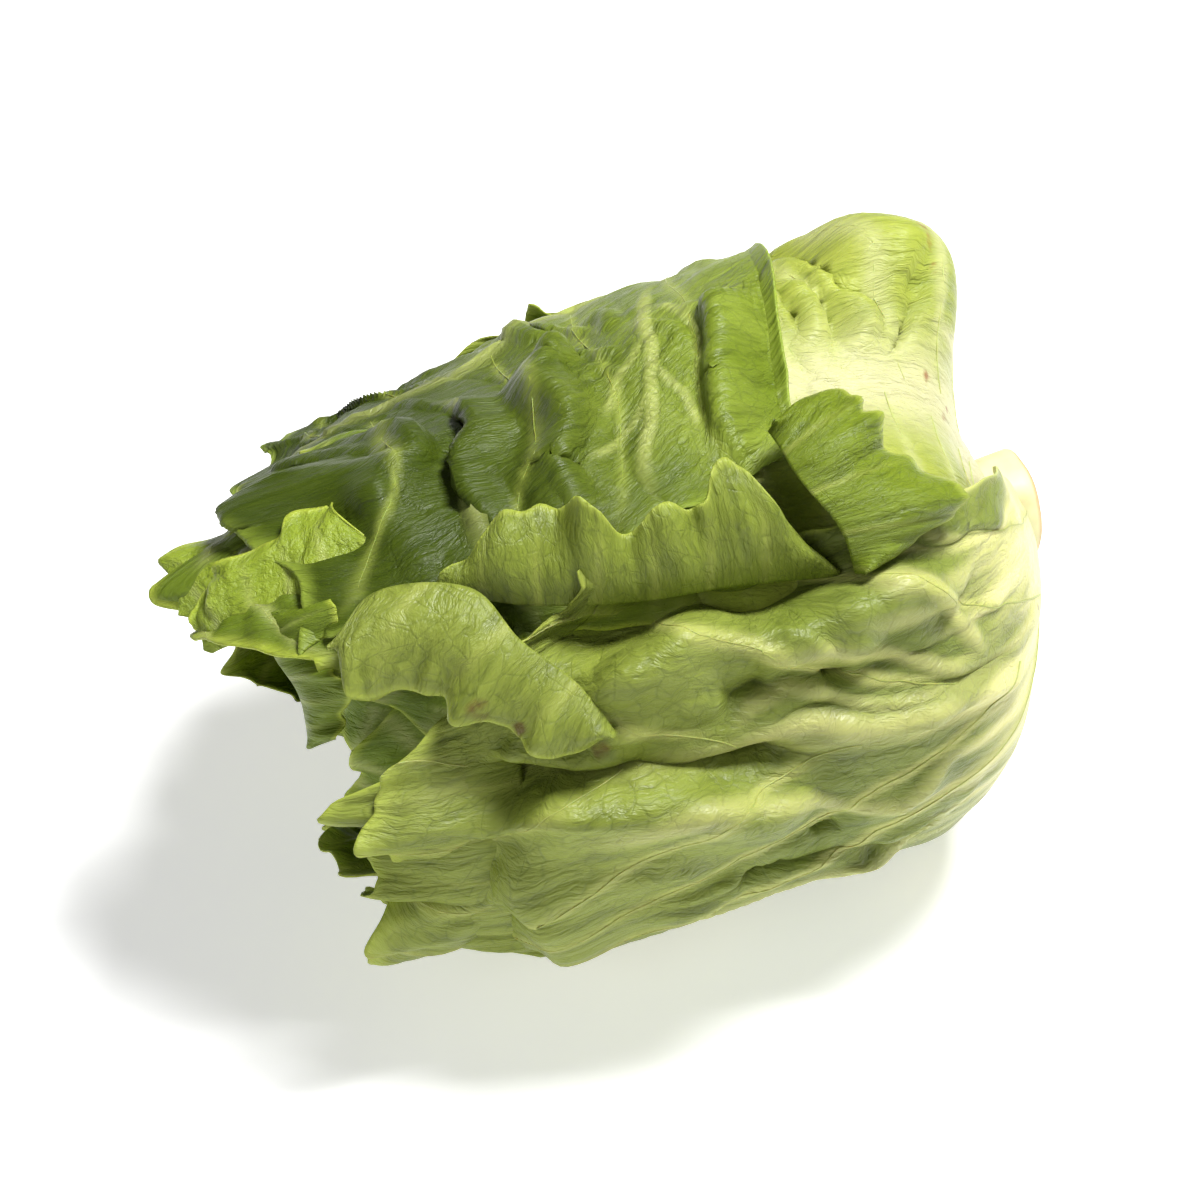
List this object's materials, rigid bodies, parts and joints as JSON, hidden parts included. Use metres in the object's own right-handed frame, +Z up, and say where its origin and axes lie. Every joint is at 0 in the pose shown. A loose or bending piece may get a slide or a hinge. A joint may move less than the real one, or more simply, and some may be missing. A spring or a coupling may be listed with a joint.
{
  "type": "romaine lettuce head",
  "caption": "Loose lettuce head lying on its side, broad pleated green leaves with waved margins wrapped round a short cut stem and a pale heart.",
  "frame": {"origin": "under the middle of the bounding box, on the surface that the head lies on", "axes": "+X towards the cut stem along the head's length, -Y to the front, +Z up"},
  "size_m": [0.2482, 0.2206, 0.1715],
  "materials": {
    "outer_leaf": "waxy olive-green leaf",
    "top_leaf": "waxy mid-green leaf",
    "heart_leaf": "soft yellow-green leaf",
    "stem": "moist cream cut stem"
  },
  "bodies": {
    "root": {"stem": "stem", "under_leaf": "outer_leaf", "front_leaf": "outer_leaf", "back_leaf": "outer_leaf", "lower_leaf": "outer_leaf", "rear_leaf": "outer_leaf", "top_leaf": "top_leaf", "shoulder_leaf": "top_leaf", "heart_leaf_1": "heart_leaf", "heart_leaf_2": "heart_leaf", "heart_leaf_3": "heart_leaf", "heart_leaf_4": "heart_leaf", "heart_leaf_5": "heart_leaf", "heart_leaf_6": "heart_leaf", "heart_leaf_7": "heart_leaf", "heart_leaf_8": "heart_leaf", "heart_leaf_9": "heart_leaf", "heart_leaf_10": "heart_leaf", "heart_leaf_11": "heart_leaf", "heart_leaf_12": "heart_leaf", "heart_leaf_13": "heart_leaf", "heart_leaf_14": "heart_leaf"}
  },
  "joints": []
}
